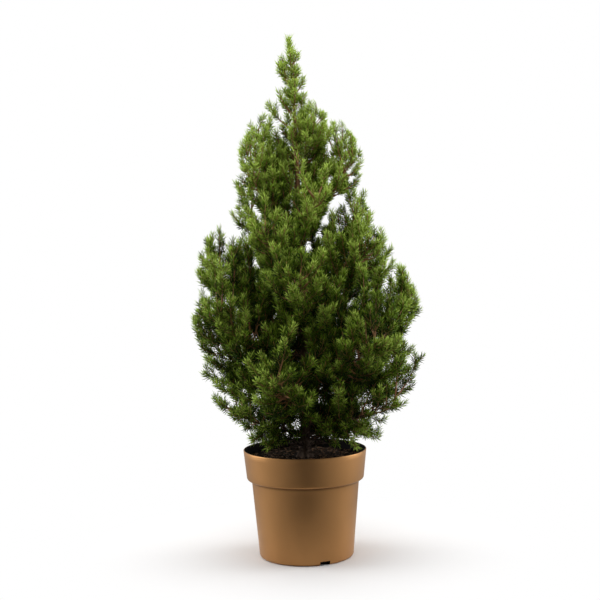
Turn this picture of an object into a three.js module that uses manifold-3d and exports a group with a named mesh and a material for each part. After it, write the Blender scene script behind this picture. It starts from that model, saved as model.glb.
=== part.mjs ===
// A dwarf Alberta spruce in a plastic nursery pot: the pot, its compost, the trunk, the boughs and the masses
// of foliage, each one a solid of its own. Millimetres, +Z up, the origin at the centre of the pot's flat
// underside, and the side that the picture shows facing -Y.
import * as THREE from "three";
import { mergeVertices } from "three/addons/utils/BufferGeometryUtils.js";
import Module from "manifold-3d";

const wasm = await Module();
wasm.setup();

// The pot: a tapered body under a wider band, with drain slots cut through its bottom corner.
const POT_HEIGHT = 166;
const RIM_RADIUS = 95;
const BAND_HEIGHT = 46;
const BAND_FOOT_RADIUS = 90.5;
const BAND_ROUNDING = 3.5;
const BODY_TOP_RADIUS = 83;
const BASE_RADIUS = 73;
const BASE_ROUNDING = 5;
const WALL = 2;
const FLOOR = 3;
const POT_SIDES = 36;
const SLOT_COUNT = 3;
const SLOT_WIDTH = 16;
const SLOT_HEIGHT = 6.5;
const SLOT_DEPTH = 14;
const FIRST_SLOT_DEGREES = -68;

// The compost fills the pot to a little below the rim, and is flat where the trunk stands on it.
const SOIL_TOP = 152;
const SOIL_RELIEF = 1.6;
const SOIL_FLAT_RADIUS = 22;
const GAP = 0.3;

// The trunk, from its flat cut on the compost to its tip inside the leader.
const TRUNK_FOOT = SOIL_TOP + GAP;
const TRUNK_TOP = 784;
const TRUNK_RADIUS = 8;
const TRUNK_TIP_RADIUS = 1.1;
const FLARE = 5;
const FLARE_HEIGHT = 9;
const ROOTS = 4;
const ROOT_SHARE = 0.22;
const LEAN = -12;
const SWAY = 3;
const SWAY_TURNS = [2.2, 3.1];
const TRUNK_SIDES = 8;
const TRUNK_RINGS = 16;
const RING_CURVE = 1.35;

// The crown's outline: its radius at each height, and the x of its middle there.
const CROWN = [
  [184, 100, 14],
  [211, 121, 16],
  [242, 150, 12],
  [273, 164, 9],
  [304, 172, 10],
  [365, 177, 9],
  [396, 172, 6],
  [457, 156, -3],
  [488, 142, -6],
  [520, 118, -4],
  [550, 101, -2],
  [611, 93, 1],
  [642, 88, 0],
  [672, 66, -6],
  [692, 36, -14],
  [711, 24, -13],
  [749, 21, -14],
  [780, 13, -13],
  [801, 9, -12],
];
const CROWN_MIDDLE = CROWN.map(([z, , x]) => [z, x]);
const CROWN_TOP = CROWN.at(-1)[0];
const FOLIAGE_BOTTOM = 176;

// The whorled boughs climb the trunk by the golden angle, and their tips lie near the crown's outline.
const GOLDEN = Math.PI * (3 - Math.sqrt(5));
const WHORLED_COUNT = 23;
const WHORLED_FROM = 176;
const WHORLED_TO = 500;
const LOWEST_TIP = 214;
const HIGHEST_TIP = 588;
const TIP_CURVE = 0.92;
const TIP_INSET = 15;
const FIRST_TURN = 1.05;
const BOW = 0.15;

// The shoulder boughs rise beside the leader: where each leaves the trunk, its tip's height and reach, and
// its turn from +X in degrees.
const SHOULDERS = [
  { leaves: 512, height: 620, reach: 86, turn: -14 },
  { leaves: 527, height: 634, reach: 88, turn: 192 },
  { leaves: 543, height: 652, reach: 78, turn: 12 },
  { leaves: 566, height: 660, reach: 66, turn: 163 },
  { leaves: 594, height: 693, reach: 44, turn: -22 },
];

// A bough is a limb of this much of the way from the trunk to its tip, and the rest is its mass's stem.
const BOUGH_SHARE = 0.3;
const BOUGH_RADIUS = 3.4;
const TOP_BOUGH_RADIUS = 2;
const SHOULDER_RADIUS = 1.8;
const BOUGH_TAPER = 0.6;
const BOUGH_SIDES = 5;
const BOUGH_RINGS = 3;

// The leader: foliage that stands round the top of the trunk.
const LEADER_FROM = 604;
const LEADER_TWIGS_FROM = 0.02;
const LEADER_TWIGS_TO = 0.84;
const LEADER_TWIG = 38;
const LEADER_END_SHARE = 0.72;
const LEADER_TWIG_PITCH = 8;
const LEADER_STRIDE = 1;

// Twigs leave a stem by the golden angle, every TWIG_PITCH millimetres. The solids carry one in every
// TWIG_STRIDE of them. They lift to the light, by TWIG_LIFT from LIFT_HEIGHT above the foliage's bottom on.
const TWIG_PITCH = 7.6;
const TWIG_STRIDE = 2;
const TWIG_SHARE = 0.5;
const SHOULDER_TWIG_SHARE = 0.3;
const TWIG_END_SHARE = 0.7;
const TWIG_LENGTHS = [0.82, 1.12];
const TWIG_TILT = 1.2;
const TWIG_END_TILT = 0.9;
const TWIG_LIFT = 2.2;
const LOWEST_LIFT = 0.1;
const LIFT_HEIGHT = 200;
const TWIG_TRIES = [1, 0.85, 0.7, 0.58, 0.46, 0.36];
const TWIG_TESTS = [0.45, 0.7, 1];
const SHORTEST_TWIG = 14;

// A spray: a slim core round a twig, with large needles drawn out of it in crossed pairs. The rest of a twig,
// up to SPRAY_FROM, is bare inside the mass's core. Each stem ends in a spray of its own.
const SPRAY_FROM = 0.5;
const SPRAY_RADIUS = 4;
const SPRAY_FOOT_RADIUS = 1.3;
const SPRAY_TIP_RADIUS = 0.3;
const END_SPRAY_FROM = 0.88;
const END_SPRAY_PROUD = 8;
const END_SPRAY_LENGTH = 36;
const NEEDLE_LENGTH = 18;
const NEEDLE_TIP_RADIUS = 0.2;
const NEEDLE_TRIES = [1, 0.75, 0.5];
const NEEDLE_STEP = 12;
const NEEDLE_TILT = 0.85;
const MOST_RINGS = 4;
const CELL_MARGIN = 0.5;

// The core of a mass, which fills a share of its space at each share of the stem's length.
const CORE_PROFILE = [
  [0, 0],
  [0.07, 0],
  [0.26, 0.4],
  [0.55, 0.44],
  [0.97, 0.1],
];
const CORE_MOST = 36;
const CORE_SIDES = 5;
const LEADER_CORE = [
  [0, 4.5],
  [0.2, 9],
  [0.6, 8],
  [1, 2.5],
];

// Where the picture shows sky through the crown, seen along Y: x, z and radius of each window.
const SKY = [
  [43, 574, 5],
  [50, 542, 8],
  [38, 517, 9],
  [22, 493, 4],
  [11, 476, 6],
  [-64, 530, 5],
  [-78, 500, 7],
  [-70, 453, 7],
];

const lerp = THREE.MathUtils.lerp;
const UP = new THREE.Vector3(0, 0, 1);

// Seeded numbers. The same seed always gives the same plant.
const PRIME = 2147483647;
const FACTOR = 48271;
const SEED_STEP = 7919;
const SOIL_SEED = 500;
const PLUME_SEED = 900;
const TWIG_SEED = 1000;
const SPRAY_SEED = 5000;
const CORE_SEED = 8000;
const MASS_SEED_STEP = 100;
const END_SEED = 99;
class Draws {
  constructor(seed) {
    this.state = (seed * SEED_STEP + FACTOR) % PRIME;
    this.next();
    this.next();
  }

  next() {
    this.state = (this.state * FACTOR) % PRIME;
    return this.state / PRIME;
  }

  between(low, high) {
    return lerp(low, high, this.next());
  }
}

// The value at x of a curve through [x, value] rows, straight between them.
function along(rows, x) {
  if (x <= rows[0][0]) return rows[0][1];
  for (let i = 1; i < rows.length; i++) {
    const [x0, v0] = rows[i - 1];
    const [x1, v1] = rows[i];
    if (x <= x1) return lerp(v0, v1, (x - x0) / (x1 - x0));
  }
  return rows[rows.length - 1][1];
}

// A solid from a closed geometry.
function solid(geometry) {
  const bare = geometry.clone();
  bare.deleteAttribute("normal");
  bare.deleteAttribute("uv");
  const merged = mergeVertices(bare, 1e-4);
  return new wasm.Manifold(
    new wasm.Mesh({
      numProp: 3,
      vertProperties: merged.attributes.position.array,
      triVerts: new Uint32Array(merged.index.array),
    }),
  );
}

// A geometry from a solid.
function geometryOf(shape) {
  const mesh = shape.getMesh();
  const positions = new Float32Array(mesh.numVert * 3);
  for (let i = 0; i < mesh.numVert; i++) {
    const start = i * mesh.numProp;
    positions.set(mesh.vertProperties.subarray(start, start + 3), i * 3);
  }
  const geometry = new THREE.BufferGeometry();
  geometry.setAttribute("position", new THREE.BufferAttribute(positions, 3));
  geometry.setIndex(new THREE.BufferAttribute(mesh.triVerts, 1));
  return geometry;
}

// The largest body of a solid, without loose scraps.
function largest(shape) {
  const bodies = shape.decompose();
  return bodies.reduce((a, b) => (a.volume() > b.volume() ? a : b));
}

// A closed geometry through rings that have the same number of points, with a flat cap on each end.
function loft(rings) {
  const sides = rings[0].length;
  const positions = rings.flat().flatMap((p) => [p.x, p.y, p.z]);
  const faces = [];
  for (let r = 0; r + 1 < rings.length; r++) {
    for (let s = 0; s < sides; s++) {
      const a = r * sides + s;
      const b = r * sides + ((s + 1) % sides);
      faces.push(a, b, a + sides, b, b + sides, a + sides);
    }
  }
  const last = (rings.length - 1) * sides;
  for (let s = 1; s + 1 < sides; s++) {
    faces.push(0, s + 1, s);
    faces.push(last, last + s, last + s + 1);
  }
  const geometry = new THREE.BufferGeometry();
  geometry.setAttribute("position", new THREE.Float32BufferAttribute(positions, 3));
  geometry.setIndex(faces);
  return geometry;
}

// The horizontal direction across a limb, from which the rings along it are turned, so that none twists.
function acrossOf(direction) {
  const across = new THREE.Vector3(-direction.y, direction.x, 0);
  return across.length() < 0.1 ? new THREE.Vector3(0, 1, 0) : across.normalize();
}

// A ring of points round a centre and square to a direction, at radiusAt(side) from the centre.
function ring(centre, direction, across, sides, radiusAt, phase = 0) {
  const u = new THREE.Vector3().crossVectors(across, direction).normalize();
  const v = new THREE.Vector3().crossVectors(direction, u).normalize();
  return Array.from({ length: sides }, (_, s) => {
    const a = phase + (2 * Math.PI * s) / sides;
    const aim = u.clone().multiplyScalar(Math.cos(a)).addScaledVector(v, Math.sin(a));
    return centre.clone().addScaledVector(aim, radiusAt(s, aim));
  });
}

// The pot's inner wall from its floor up to its lip, as [radius, height] rows.
const LEDGE = POT_HEIGHT - BAND_HEIGHT;
const INNER_WALL = [
  [BASE_RADIUS - WALL, FLOOR],
  [BODY_TOP_RADIUS - WALL, LEDGE - WALL],
  [BAND_FOOT_RADIUS - WALL, LEDGE + BAND_ROUNDING],
  [RIM_RADIUS - WALL, POT_HEIGHT],
];

function makePot() {
  const corner = BASE_ROUNDING * (1 - Math.SQRT1_2);
  const band = BAND_ROUNDING * (1 - Math.SQRT1_2);
  const profile = [
    [0, 0],
    [BASE_RADIUS - BASE_ROUNDING, 0],
    [BASE_RADIUS - corner, corner],
    [BASE_RADIUS, BASE_ROUNDING],
    [BODY_TOP_RADIUS, LEDGE],
    [BAND_FOOT_RADIUS - BAND_ROUNDING, LEDGE],
    [BAND_FOOT_RADIUS - band, LEDGE + band],
    [BAND_FOOT_RADIUS, LEDGE + BAND_ROUNDING],
    [RIM_RADIUS, POT_HEIGHT - 0.5],
    [RIM_RADIUS - 0.5, POT_HEIGHT],
    ...INNER_WALL.toReversed(),
    [0, FLOOR],
  ];
  const points = profile.map(([r, z]) => new THREE.Vector2(r, z));
  let pot = solid(new THREE.LatheGeometry(points, POT_SIDES).rotateX(Math.PI / 2));
  for (let i = 0; i < SLOT_COUNT; i++) {
    const slot = new THREE.BoxGeometry(2 * SLOT_DEPTH, SLOT_WIDTH, 2 * SLOT_HEIGHT);
    slot.translate(BASE_RADIUS, 0, 0);
    slot.rotateZ(THREE.MathUtils.degToRad(FIRST_SLOT_DEGREES + (360 * i) / SLOT_COUNT));
    pot = pot.subtract(solid(slot));
  }
  return geometryOf(pot);
}

function makeSoil() {
  const edge = along(INNER_WALL.map(([r, z]) => [z, r]), SOIL_TOP);
  const across = new THREE.Vector3(0, 1, 0);
  const rings = [
    [INNER_WALL[0][0] - 2 * GAP, FLOOR + GAP, 0],
    [INNER_WALL[1][0] - 2 * GAP, INNER_WALL[1][1], 0],
    [INNER_WALL[2][0] - 2 * GAP, INNER_WALL[2][1], 0],
    [edge - 3 * GAP, SOIL_TOP - 1, 0.4],
    [lerp(SOIL_FLAT_RADIUS, edge, 0.6), SOIL_TOP, 1],
    [SOIL_FLAT_RADIUS, SOIL_TOP, 0],
  ].map(([radius, height, relief], k) => {
    const draws = new Draws(SOIL_SEED + k);
    const points = ring(new THREE.Vector3(0, 0, height), UP, across, POT_SIDES, () => radius);
    for (const p of points) p.z += relief * draws.between(-SOIL_RELIEF, SOIL_RELIEF);
    return points;
  });
  return loft(rings);
}

// The trunk's middle and radius at a height.
function trunkCentre(z) {
  const s = THREE.MathUtils.clamp((z - TRUNK_FOOT) / (TRUNK_TOP - TRUNK_FOOT), 0, 1.05);
  const [x, y] = SWAY_TURNS.map((turns) => SWAY * Math.sin(turns * Math.PI * s) * (1 - s));
  return new THREE.Vector3(LEAN * s ** 4 + x, y, z);
}

function trunkRadius(z) {
  const s = (z - TRUNK_FOOT) / (TRUNK_TOP - TRUNK_FOOT);
  return lerp(TRUNK_RADIUS, TRUNK_TIP_RADIUS, s) + FLARE * Math.exp((TRUNK_FOOT - z) / FLARE_HEIGHT);
}

// The trunk grown by a clearance all round, or the trunk itself when that is 0.
function makeTrunk(clearance = 0) {
  const across = new THREE.Vector3(0, 1, 0);
  const rings = [];
  for (let i = 0; i <= TRUNK_RINGS; i++) {
    const z = lerp(TRUNK_FOOT, TRUNK_TOP, (i / TRUNK_RINGS) ** RING_CURVE);
    const flare = ROOT_SHARE * Math.exp((TRUNK_FOOT - z) / FLARE_HEIGHT);
    const radius = trunkRadius(z) + clearance;
    const radiusAt = (s) => radius * (1 + flare * Math.cos((2 * Math.PI * s * ROOTS) / TRUNK_SIDES));
    rings.push(ring(trunkCentre(z), UP, across, TRUNK_SIDES, radiusAt));
  }
  rings[0].forEach((p) => (p.z -= clearance));
  rings[TRUNK_RINGS].forEach((p) => (p.z += clearance));
  return loft(rings);
}

// One plume for each bough: the curve that the bough and then its mass's stem follow, from the trunk's middle
// to the tip.
function plume(leaves, turn, reach, height, radius) {
  const out = new THREE.Vector3(Math.cos(turn), Math.sin(turn), 0);
  const start = trunkCentre(leaves);
  const tip = new THREE.Vector3(along(CROWN_MIDDLE, height), 0, height).addScaledVector(out, reach);
  const chord = tip.clone().sub(start);
  const low = out.clone().multiplyScalar(chord.z).addScaledVector(UP, -chord.dot(out));
  const bend = start.clone().add(tip).multiplyScalar(0.5).addScaledVector(low, BOW);
  const curve = new THREE.QuadraticBezierCurve3(start, bend, tip);
  return { curve, radius, length: chord.length() };
}

function makePlumes() {
  const whorled = Array.from({ length: WHORLED_COUNT }, (_, i) => {
    const share = i / (WHORLED_COUNT - 1);
    const draws = new Draws(PLUME_SEED + i);
    const leaves = lerp(WHORLED_FROM, WHORLED_TO, share);
    const turn = FIRST_TURN + i * GOLDEN + draws.between(-0.12, 0.12);
    const height = lerp(LOWEST_TIP, HIGHEST_TIP, share ** TIP_CURVE) + draws.between(-9, 9);
    const reach = along(CROWN, height) - TIP_INSET + draws.between(-5, 5);
    return plume(leaves, turn, reach, height, lerp(BOUGH_RADIUS, TOP_BOUGH_RADIUS, share));
  });
  const shoulders = SHOULDERS.map((s) =>
    plume(s.leaves, THREE.MathUtils.degToRad(s.turn), s.reach, s.height, SHOULDER_RADIUS),
  );
  return [...whorled, ...shoulders];
}

const plumes = makePlumes();
const LEADER = plumes.length;
const leaderCurve = new THREE.CatmullRomCurve3(
  [0, 0.25, 0.5, 0.75, 1].map((t) => trunkCentre(lerp(LEADER_FROM, TRUNK_TOP, t))),
);

// The middle line of each plume and of the leader, by which the masses share the crown out.
const SPINE_STEPS = 12;
const spines = [...plumes.map((p) => p.curve), leaderCurve].map((curve) =>
  Array.from({ length: SPINE_STEPS + 1 }, (_, i) => curve.getPoint(i / SPINE_STEPS)),
);

function distanceTo(spine, point) {
  let nearest = Infinity;
  const line = new THREE.Line3();
  const foot = new THREE.Vector3();
  for (let i = 0; i + 1 < spine.length; i++) {
    line.set(spine[i], spine[i + 1]);
    line.closestPointToPoint(point, true, foot);
    nearest = Math.min(nearest, foot.distanceTo(point));
  }
  return nearest;
}

// How far a point is inside the space of mass own: less than 0 where it is nearer to another spine.
function roomAt(own, point) {
  const mine = distanceTo(spines[own], point);
  let other = Infinity;
  spines.forEach((spine, k) => {
    if (k !== own) other = Math.min(other, distanceTo(spine, point));
  });
  return (other - mine) / 2;
}

// True if a ball of that radius lies in the mass's own space, clear of the trunk, inside the crown's outline
// and out of the sky windows.
function fits(own, point, radius) {
  const { x, y, z } = point;
  const out = Math.hypot(x - along(CROWN_MIDDLE, z), y);
  if (z < FOLIAGE_BOTTOM + radius || z > CROWN_TOP || out > along(CROWN, z)) return false;
  if (SKY.some(([sx, sz, r]) => Math.hypot(x - sx, z - sz) < r + radius)) return false;
  const off = trunkCentre(z).distanceTo(point);
  if (z < TRUNK_TOP + radius && off < trunkRadius(z) + radius + CELL_MARGIN) return false;
  return roomAt(own, point) > radius + CELL_MARGIN;
}

// How much a twig that starts at that height lifts: those at the bottom spread out.
function liftAt(z) {
  return lerp(LOWEST_LIFT, TWIG_LIFT, THREE.MathUtils.clamp((z - FOLIAGE_BOTTOM) / LIFT_HEIGHT, 0, 1));
}

// A twig's curve from a point on a stem: it leaves at a tilt from the stem's direction and then lifts.
function twigCurve(base, direction, turn, tilt, length) {
  const across = acrossOf(direction);
  const u = new THREE.Vector3().crossVectors(across, direction).normalize();
  const v = new THREE.Vector3().crossVectors(direction, u).normalize();
  const aim = direction
    .clone()
    .multiplyScalar(Math.cos(tilt))
    .addScaledVector(u, Math.sin(tilt) * Math.cos(turn))
    .addScaledVector(v, Math.sin(tilt) * Math.sin(turn));
  const bend = base.clone().addScaledVector(aim, length / 2);
  const lifted = aim.clone().addScaledVector(UP, liftAt(base.z)).normalize();
  return new THREE.QuadraticBezierCurve3(base, bend, bend.clone().addScaledVector(lifted, length / 2));
}

// True if a twig's outer part fits, with room for its spray.
function twigFits(own, twig) {
  return TWIG_TESTS.every((s) => fits(own, twig.getPoint(s), SPRAY_RADIUS * (1 - s * 0.8)));
}

// The twigs of one mass stand from share from to share to of its stem, and their lengths go from first to
// last. Of each, the first of its tries that fits is kept.
function twigsOf(own, curve, { from, to, first, last, count, stride }) {
  const kept = [];
  for (let k = 0; k < count; k += stride) {
    const draws = new Draws(TWIG_SEED + own * MASS_SEED_STEP + k);
    const u = (k + 0.5) / count;
    const t = lerp(from, to, u);
    const turn = k * GOLDEN + own + draws.between(-0.3, 0.3);
    const tilt = lerp(TWIG_TILT, TWIG_END_TILT, u) + draws.between(-0.12, 0.12);
    const full = lerp(first, last, u) * draws.between(...TWIG_LENGTHS);
    for (const share of TWIG_TRIES) {
      const length = full * share;
      const twig = twigCurve(curve.getPoint(t), curve.getTangent(t), turn, tilt, length);
      if (length >= SHORTEST_TWIG && twigFits(own, twig)) {
        kept.push({ twig, length, seed: own * MASS_SEED_STEP + k });
        break;
      }
    }
  }
  return kept;
}

// A spray: a slim four-sided core along the twig. At each ring two opposite corners are drawn out into
// needles, and the needles of the next ring stand across them. A needle that would not fit is shorter or
// left out.
function sprayOf(own, { twig, length, seed }) {
  const draws = new Draws(SPRAY_SEED + seed);
  const across = acrossOf(twig.getTangent(0.5));
  const needled = Math.round((length * (1 - SPRAY_FROM)) / NEEDLE_STEP);
  const count = THREE.MathUtils.clamp(needled, 2, MOST_RINGS);
  const rings = [ring(twig.getPoint(0), twig.getTangent(0), across, 4, () => SPRAY_FOOT_RADIUS)];
  for (let i = 0; i <= count; i++) {
    const s = lerp(SPRAY_FROM, 1, i / count);
    const centre = twig.getPoint(s);
    const tangent = twig.getTangent(s);
    const radius = i < count ? SPRAY_RADIUS : SPRAY_TIP_RADIUS;
    const drawnOut = (side, aim) => {
      if (i === count || side % 2 !== i % 2) return undefined;
      const tilt = NEEDLE_TILT + draws.between(-0.15, 0.15);
      const reach = NEEDLE_LENGTH * draws.between(0.85, 1.2);
      const needle = tangent.clone().multiplyScalar(Math.cos(tilt)).addScaledVector(aim, Math.sin(tilt));
      const tips = NEEDLE_TRIES.map((share) => centre.clone().addScaledVector(needle, reach * share));
      return tips.find((tip) => fits(own, tip, NEEDLE_TIP_RADIUS));
    };
    const tips = [];
    const corners = ring(centre, tangent, across, 4, (side, aim) => {
      tips.push(drawnOut(side, aim));
      return radius;
    });
    rings.push(corners.map((corner, side) => tips[side] ?? corner));
  }
  return solid(loft(rings));
}

// How far from a point of the stem the space of a mass goes on in one direction.
function reachOf(own, centre, aim) {
  let reach = 0;
  const step = 3;
  while (reach < CORE_MOST && fits(own, centre.clone().addScaledVector(aim, reach + step), 1)) reach += step;
  return reach;
}

// The core of a mass: its stem, which swells into a lump that fills part of the space on every side.
function coreOf(own, curve, from, root) {
  const across = acrossOf(curve.getTangent(lerp(from, 1, 0.5)));
  const rings = CORE_PROFILE.map(([s, share], k) => {
    const t = lerp(from, 1, s);
    const draws = new Draws(CORE_SEED + own * CORE_PROFILE.length + k);
    const centre = curve.getPoint(t);
    const radiusAt = (side, aim) =>
      Math.max(root, share * reachOf(own, centre, aim) * draws.between(0.8, 1.1));
    return ring(centre, curve.getTangent(t), across, CORE_SIDES, radiusAt, k % 2 ? 0.4 : 0);
  });
  return solid(loft(rings));
}

// The share of a plume's curve at which its mass's stem starts, just clear of the bough's end.
function stemStart(p) {
  return BOUGH_SHARE + (GAP * 1.2) / p.length;
}

// The last stretch of a stem, as a twig that carries a spray of its own.
function tipCurve(curve) {
  const tip = curve.getPoint(1);
  const end = tip.clone().addScaledVector(curve.getTangent(1), END_SPRAY_PROUD);
  return new THREE.QuadraticBezierCurve3(curve.getPoint(END_SPRAY_FROM), tip, end);
}

function makeMass(own) {
  const p = plumes[own];
  const first = p.length * (own < WHORLED_COUNT ? TWIG_SHARE : SHOULDER_TWIG_SHARE);
  const count = Math.floor((p.length * (1 - BOUGH_SHARE)) / TWIG_PITCH);
  const plan = { from: BOUGH_SHARE, to: 1, first, last: first * TWIG_END_SHARE, count, stride: TWIG_STRIDE };
  const seed = own * MASS_SEED_STEP + END_SEED;
  const pieces = [
    coreOf(own, p.curve, stemStart(p), p.radius * BOUGH_TAPER),
    ...twigsOf(own, p.curve, plan).map((twig) => sprayOf(own, twig)),
    sprayOf(own, { twig: tipCurve(p.curve), length: END_SPRAY_LENGTH, seed }),
  ];
  return largest(wasm.Manifold.union(pieces));
}

function makeLeader() {
  const across = new THREE.Vector3(0, 1, 0);
  const rings = LEADER_CORE.map(([t, radius]) =>
    ring(leaderCurve.getPoint(t), UP, across, CORE_SIDES, () => radius),
  );
  const reach = (TRUNK_TOP - LEADER_FROM) * (LEADER_TWIGS_TO - LEADER_TWIGS_FROM);
  const plan = {
    from: LEADER_TWIGS_FROM,
    to: LEADER_TWIGS_TO,
    first: LEADER_TWIG,
    last: LEADER_TWIG * LEADER_END_SHARE,
    count: Math.floor(reach / LEADER_TWIG_PITCH),
    stride: LEADER_STRIDE,
  };
  const top = trunkCentre(TRUNK_TOP);
  const peak = new THREE.Vector3(top.x, top.y, CROWN_TOP - 1);
  const twig = new THREE.QuadraticBezierCurve3(trunkCentre(TRUNK_TOP - 12), top, peak);
  const seed = LEADER * MASS_SEED_STEP + END_SEED;
  const pieces = [
    solid(loft(rings)),
    ...twigsOf(LEADER, leaderCurve, plan).map((side) => sprayOf(LEADER, side)),
    sprayOf(LEADER, { twig, length: END_SPRAY_LENGTH, seed }),
  ];
  return largest(wasm.Manifold.union(pieces).subtract(solid(makeTrunk(GAP + 0.1))));
}

function makeBough(p, clear) {
  const from = trunkRadius(p.curve.getPoint(0).z) / p.length / 2;
  const across = acrossOf(p.curve.getTangent(BOUGH_SHARE / 2));
  const rings = Array.from({ length: BOUGH_RINGS + 1 }, (_, i) => {
    const t = lerp(from, BOUGH_SHARE, i / BOUGH_RINGS);
    const radius = p.radius * lerp(1, BOUGH_TAPER, i / BOUGH_RINGS);
    return ring(p.curve.getPoint(t), p.curve.getTangent(t), across, BOUGH_SIDES, () => radius);
  });
  return largest(solid(loft(rings)).subtract(clear));
}

const paint = (color, roughness, metalness = 0) =>
  new THREE.MeshStandardMaterial({ color, roughness, metalness });
const materials = {
  pot: paint(0xa5713f, 0.45, 0.25),
  soil: paint(0x241a12, 1),
  bark: paint(0x5e4630, 0.9),
  needles: paint(0x3d5c1e, 0.6),
};

const group = new THREE.Group();
function add(name, geometry, material) {
  const mesh = new THREE.Mesh(geometry, material);
  mesh.name = name;
  group.add(mesh);
}

add("pot", makePot(), materials.pot);
add("soil", makeSoil(), materials.soil);
add("trunk", makeTrunk(), materials.bark);
const trunkClearance = solid(makeTrunk(GAP));
plumes.forEach((p, own) => {
  add(`bough_${own + 1}`, geometryOf(makeBough(p, trunkClearance)), materials.bark);
  add(`foliage_${own + 1}`, geometryOf(makeMass(own)), materials.needles);
});
add("foliage_leader", geometryOf(makeLeader()), materials.needles);

export default group;
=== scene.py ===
# A dwarf Alberta spruce in a plastic nursery pot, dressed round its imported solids. The limbs grow by the
# same rule as the solids and go on to finer shoots and needles. Sizes are in millimetres until a mesh is
# made.
import math

import bpy
import numpy as np
from mathutils import Matrix, Vector, noise


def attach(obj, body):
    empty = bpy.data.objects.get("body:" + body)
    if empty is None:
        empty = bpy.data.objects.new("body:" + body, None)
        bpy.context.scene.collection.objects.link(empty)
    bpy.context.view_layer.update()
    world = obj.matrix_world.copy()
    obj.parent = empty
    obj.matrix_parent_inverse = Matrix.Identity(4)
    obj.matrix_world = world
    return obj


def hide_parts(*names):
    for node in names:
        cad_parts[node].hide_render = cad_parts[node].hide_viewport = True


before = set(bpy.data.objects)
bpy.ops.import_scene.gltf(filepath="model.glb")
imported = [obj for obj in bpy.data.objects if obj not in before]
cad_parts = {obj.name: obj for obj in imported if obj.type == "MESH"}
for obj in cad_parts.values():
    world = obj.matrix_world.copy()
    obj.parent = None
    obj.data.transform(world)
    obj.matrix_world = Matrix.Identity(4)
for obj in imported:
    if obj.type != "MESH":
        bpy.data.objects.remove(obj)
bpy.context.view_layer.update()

MM = 0.001
GOLDEN = math.pi * (3 - math.sqrt(5))
UP = np.array([0.0, 0.0, 1.0])

# The pot: a tapered body under a wider band, with drain slots cut through its bottom corner. Its profile is
# turned round the axis, from which it keeps a small gap.
POT_HEIGHT = 166
RIM_RADIUS = 95
BAND_HEIGHT = 46
BAND_FOOT_RADIUS = 90.5
BAND_ROUNDING = 3.5
BODY_TOP_RADIUS = 83
BASE_RADIUS = 73
BASE_ROUNDING = 5
WALL = 2
FLOOR = 3
FLOOR_ROUNDING = 2
FLAT_RINGS = (30, 60)
AXIS_GAP = 0.5
LEDGE = POT_HEIGHT - BAND_HEIGHT
LEDGE_ROUNDING = 1
POT_SEGMENTS = 160
FEW_STEPS = 4
SOME_STEPS = 5
MANY_STEPS = 8
INSIDE_FROM = 0.6
UNDERSIDE_TOP = 0.5
CREASE_DEGREES = 38
# How far above and below the ledge the painted shade under the band reaches.
LEDGE_SHADE_HEIGHT = 5
SLOT_COUNT = 3
SLOT_WIDTH = 16
SLOT_HEIGHT = 6.5
SLOT_DEPTH = 14
SLOT_ROUNDING = 1.6
SLOT_ROUNDING_STEPS = 3
FIRST_SLOT_DEGREES = -68

# The compost. Its relief is a sum of waves: how fine each is, the level that its noise is cut at, and its
# share.
SOIL_TOP = 152
SOIL_RELIEF = 2.4
SOIL_WAVES = [(0.06, 3, 0.7), (0.2, 9, 0.6), (0.6, 17, 0.35)]
SOIL_CLEARANCE = 0.4
SOIL_SIDE_GAP = 1
SOIL_TAPER = 1.7
SOIL_RINGS = 58
SOIL_SEGMENTS = 190
SOIL_CORNER = 2
SOIL_SHOULDER = (1.5, 12)
COMPOST_COLOURS = ((0.006, 0.004, 0.003), (0.040, 0.026, 0.017))

# What lies and stands on the compost: crumbs, fallen needles and dry twigs.
CRUMB_COUNT = 1500
CRUMB_SPREAD = 88
CRUMB_SIZES = (0.5, 4)
CRUMB_GROWTH = (2.2, 0.55)
CRUMB_LUMPS = (0.72, 1.2)
CRUMB_STRETCH = [(0.7, 1.8), (0.5, 1), (0.35, 0.8)]
CRUMB_LEAN = 0.5
CRUMB_LIFT = 0.15
CRUMB_COLOURS = ((0.010, 0.007, 0.005), (0.075, 0.046, 0.028))
LITTER_COUNT = 420
LITTER_FROM = 16
LITTER_SPREAD = 70
LITTER_LIFT = (0.5, 2.2)
LITTER_SLOPE = (-0.15, 0.25)
LITTER_LENGTHS = (6, 11)
DRY_TWIG_COUNT = 60
DRY_TWIG_TURN_SCATTER = 0.4
DRY_TWIG_HEIGHTS = (160, 190)
DRY_TWIG_FROM = 4
DRY_TWIG_REACH = (22, 66)
DRY_TWIG_RISE = (-4, 26)
DRY_TWIG_ARCH = (-4, 9)
DRY_TWIG_SWAY = 7
DRY_TWIG_RADII = (0.9, 0.3)
DRY_TWIG_RINGS = 9
DRY_TWIG_SIDES = 5

# The trunk, from its flat cut on the compost to its tip inside the leader.
TRUNK_FOOT = 152.3
TRUNK_TOP = 784
TRUNK_RADIUS = 8
TRUNK_TIP_RADIUS = 1.1
FLARE = 5
FLARE_HEIGHT = 9
LEAN = -12
SWAY = 3
SWAY_WAVES = (2.2, 3.1)

# The bark: long plates with finer scales on them, by how fine each is across the limb and along it. The
# trunk swells towards its roots, and a collar stands round the foot of each bough.
ROOTS = 4
ROOT_SWELL = 0.22
BARK_SIDES = 48
BARK_RING_STEP = 3
RING_CURVE = 1.1
BARK_RELIEF = 0.55
RELIEF_SHARES = (0.25, 1.2)
PLATES = (0.32, 0.085)
SCALES = (0.9, 0.35)
SCALE_LEVEL = 40
PLATE_SHARE = 0.7
SCALE_SHARE = 0.3
RELIEF_MEAN = 0.35
COLLAR = 0.45
COLLAR_SPREAD = 1.5
COLLAR_FALL = 9
YOUNG_BARK = (0.22, 0.6)

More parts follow.
